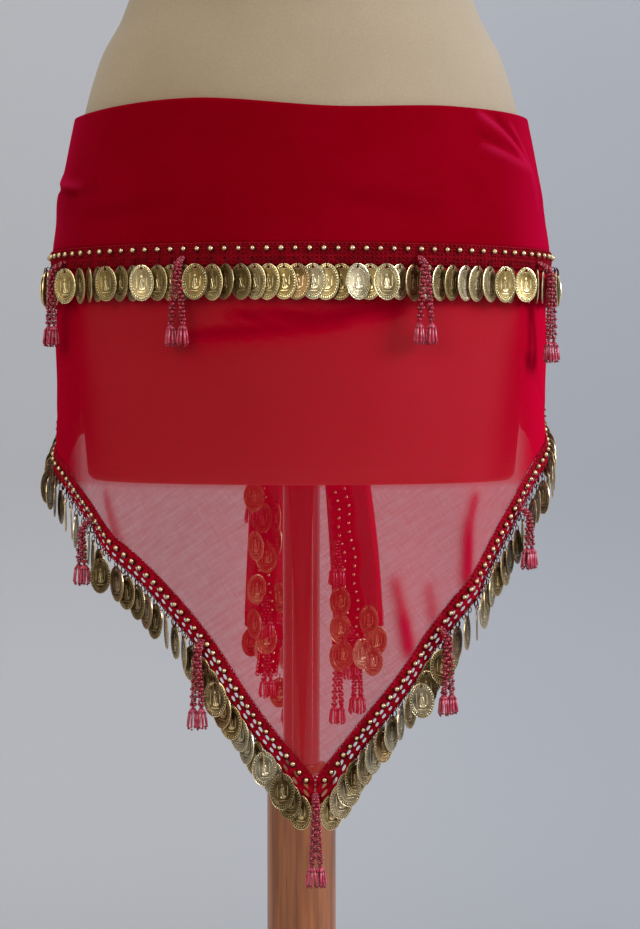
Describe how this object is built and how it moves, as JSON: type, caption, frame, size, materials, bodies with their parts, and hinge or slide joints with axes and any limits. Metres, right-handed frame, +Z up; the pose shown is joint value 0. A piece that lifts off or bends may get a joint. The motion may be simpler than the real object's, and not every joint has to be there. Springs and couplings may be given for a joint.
{
  "type": "belly dance hip scarf on a dress form stand",
  "caption": "Triangular chiffon hip scarf with crochet edging, hanging coins and bead tassels, tied round a limbless dress form on a round wooden stand.",
  "frame": {"origin": "centre of the underside of the round base", "axes": "+Z up; -Y is the side where the point of the scarf hangs; +Y is the side of the knot"},
  "size_m": [0.43, 0.43, 1.3613],
  "materials": {
    "jersey": "matt beige jersey, finely ribbed",
    "wood": "varnished, warm orange brown",
    "pole": "varnished, dark red brown",
    "chiffon": "sheer crimson chiffon with a slub weave",
    "double_chiffon": "two layers of crimson chiffon, deeper and nearly opaque",
    "crochet": "red cotton crochet with gold beads",
    "gold_coin": "pressed, pale antique gold",
    "brass_coin": "pressed, darker antique brass",
    "bead": "small red and pink glass beads on thread"
  },
  "bodies": {
    "root": {"dress_form": "jersey", "neck_cap": "wood", "base": "wood", "column": "wood", "pole": "pole", "veil_panel": "chiffon", "tail_left": "chiffon", "tail_right": "chiffon", "knot": "chiffon", "hip_band": "double_chiffon", "band_crochet_left": "crochet", "band_crochet_right": "crochet", "hem_crochet_left": "crochet", "hem_crochet_right": "crochet", "tail_crochet_left": "crochet", "tail_crochet_right": "crochet", "band_coins_left": "gold_coin", "band_coins_right": "gold_coin", "hem_coins_left": "brass_coin", "hem_coins_right": "brass_coin", "tail_coins_left": "brass_coin", "tail_coins_right": "brass_coin", "band_tassel_1": "bead", "band_tassel_2": "bead", "band_tassel_3": "bead", "band_tassel_4": "bead", "band_tassel_5": "bead", "band_tassel_6": "bead", "hem_tassel_1": "bead", "hem_tassel_2": "bead", "hem_tassel_3": "bead", "hem_tassel_4": "bead", "hem_tassel_5": "bead", "hem_tassel_6": "bead", "hem_tassel_7": "bead", "hem_tassel_8": "bead", "hem_tassel_9": "bead", "tail_tassel_left": "bead", "tail_tassel_right": "bead"}
  },
  "joints": []
}
